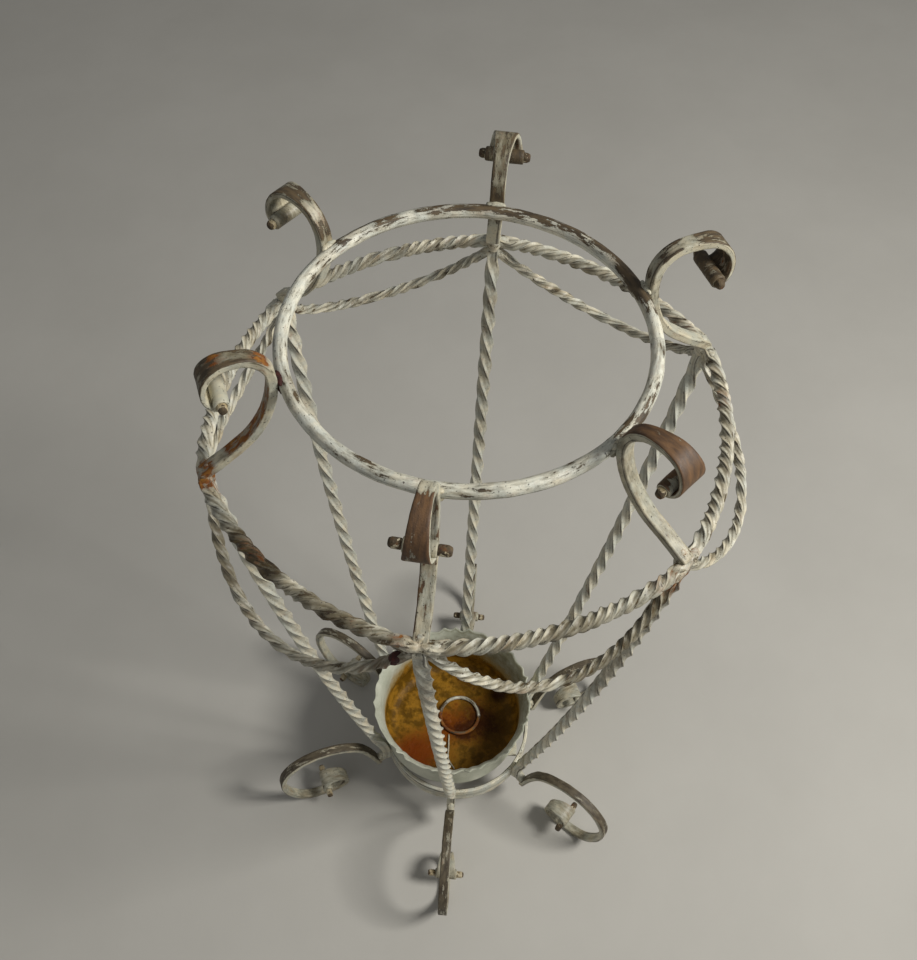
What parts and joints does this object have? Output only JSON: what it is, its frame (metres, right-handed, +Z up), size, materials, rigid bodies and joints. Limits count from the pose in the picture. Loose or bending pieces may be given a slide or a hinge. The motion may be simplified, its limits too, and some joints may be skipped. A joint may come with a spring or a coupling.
{
  "type": "plant stand",
  "caption": "Flared wrought-iron stand with twisted posts, a round top ring in outward scrolls, hanging bars between the posts, curled feet and a loose round drip pan.",
  "frame": {"origin": "on the floor, at the middle of the box round the stand; the upright axis of the top ring and of the hoop stands 6 mm to its left", "axes": "+Z up, -Y towards the front post, +X to the right as seen from the front"},
  "size_m": [0.4332, 0.4295, 0.7706],
  "materials": {
    "bar_paint": "chipped off-white enamel over rusty steel",
    "ring_paint": "off-white enamel worn through to brown metal on top",
    "scroll_paint": "off-white enamel worn through to grey-brown metal on the outer face",
    "foot_paint": "off-white enamel worn through to grey-brown metal on the outer face",
    "pin_rust": "bare rusty steel",
    "pan_rust": "glossy ochre and orange-brown rust inside, pale greenish white outside",
    "hidden_paint": "off-white enamel"
  },
  "bodies": {
    "stand": {"top_ring": "ring_paint", "pan_hoop": "bar_paint", "pan_rest_bar_front": "hidden_paint", "pan_rest_bar_back": "hidden_paint", "scroll_bar_front": "scroll_paint", "scroll_pin_front": "pin_rust", "upright_front": "bar_paint", "belt_bar_front": "bar_paint", "swag_bar_front": "bar_paint", "foot_front": "foot_paint", "foot_pin_front": "pin_rust", "scroll_bar_front_right": "scroll_paint", "scroll_pin_front_right": "pin_rust", "upright_front_right": "bar_paint", "belt_bar_front_right": "bar_paint", "swag_bar_front_right": "bar_paint", "foot_front_right": "foot_paint", "foot_pin_front_right": "pin_rust", "scroll_bar_back_right": "scroll_paint", "scroll_pin_back_right": "pin_rust", "upright_back_right": "bar_paint", "belt_bar_back_right": "bar_paint", "swag_bar_back_right": "bar_paint", "foot_back_right": "foot_paint", "foot_pin_back_right": "pin_rust", "scroll_bar_back": "scroll_paint", "scroll_pin_back": "pin_rust", "upright_back": "bar_paint", "belt_bar_back": "bar_paint", "swag_bar_back": "bar_paint", "foot_back": "foot_paint", "foot_pin_back": "pin_rust", "scroll_bar_back_left": "scroll_paint", "scroll_pin_back_left": "pin_rust", "upright_back_left": "bar_paint", "belt_bar_back_left": "bar_paint", "swag_bar_back_left": "bar_paint", "foot_back_left": "foot_paint", "foot_pin_back_left": "pin_rust", "scroll_bar_front_left": "scroll_paint", "scroll_pin_front_left": "pin_rust", "upright_front_left": "bar_paint", "belt_bar_front_left": "bar_paint", "swag_bar_front_left": "bar_paint", "foot_front_left": "foot_paint", "foot_pin_front_left": "pin_rust"},
    "pan": {"drip_pan": "pan_rust", "pan_wire_ring": "pan_rust"}
  },
  "joints": [
    {"name": "pan_lift", "type": "slide", "parent": "stand", "child": "pan", "axis": [0, 0, 1], "range_m": [0, 0.72]}
  ]
}
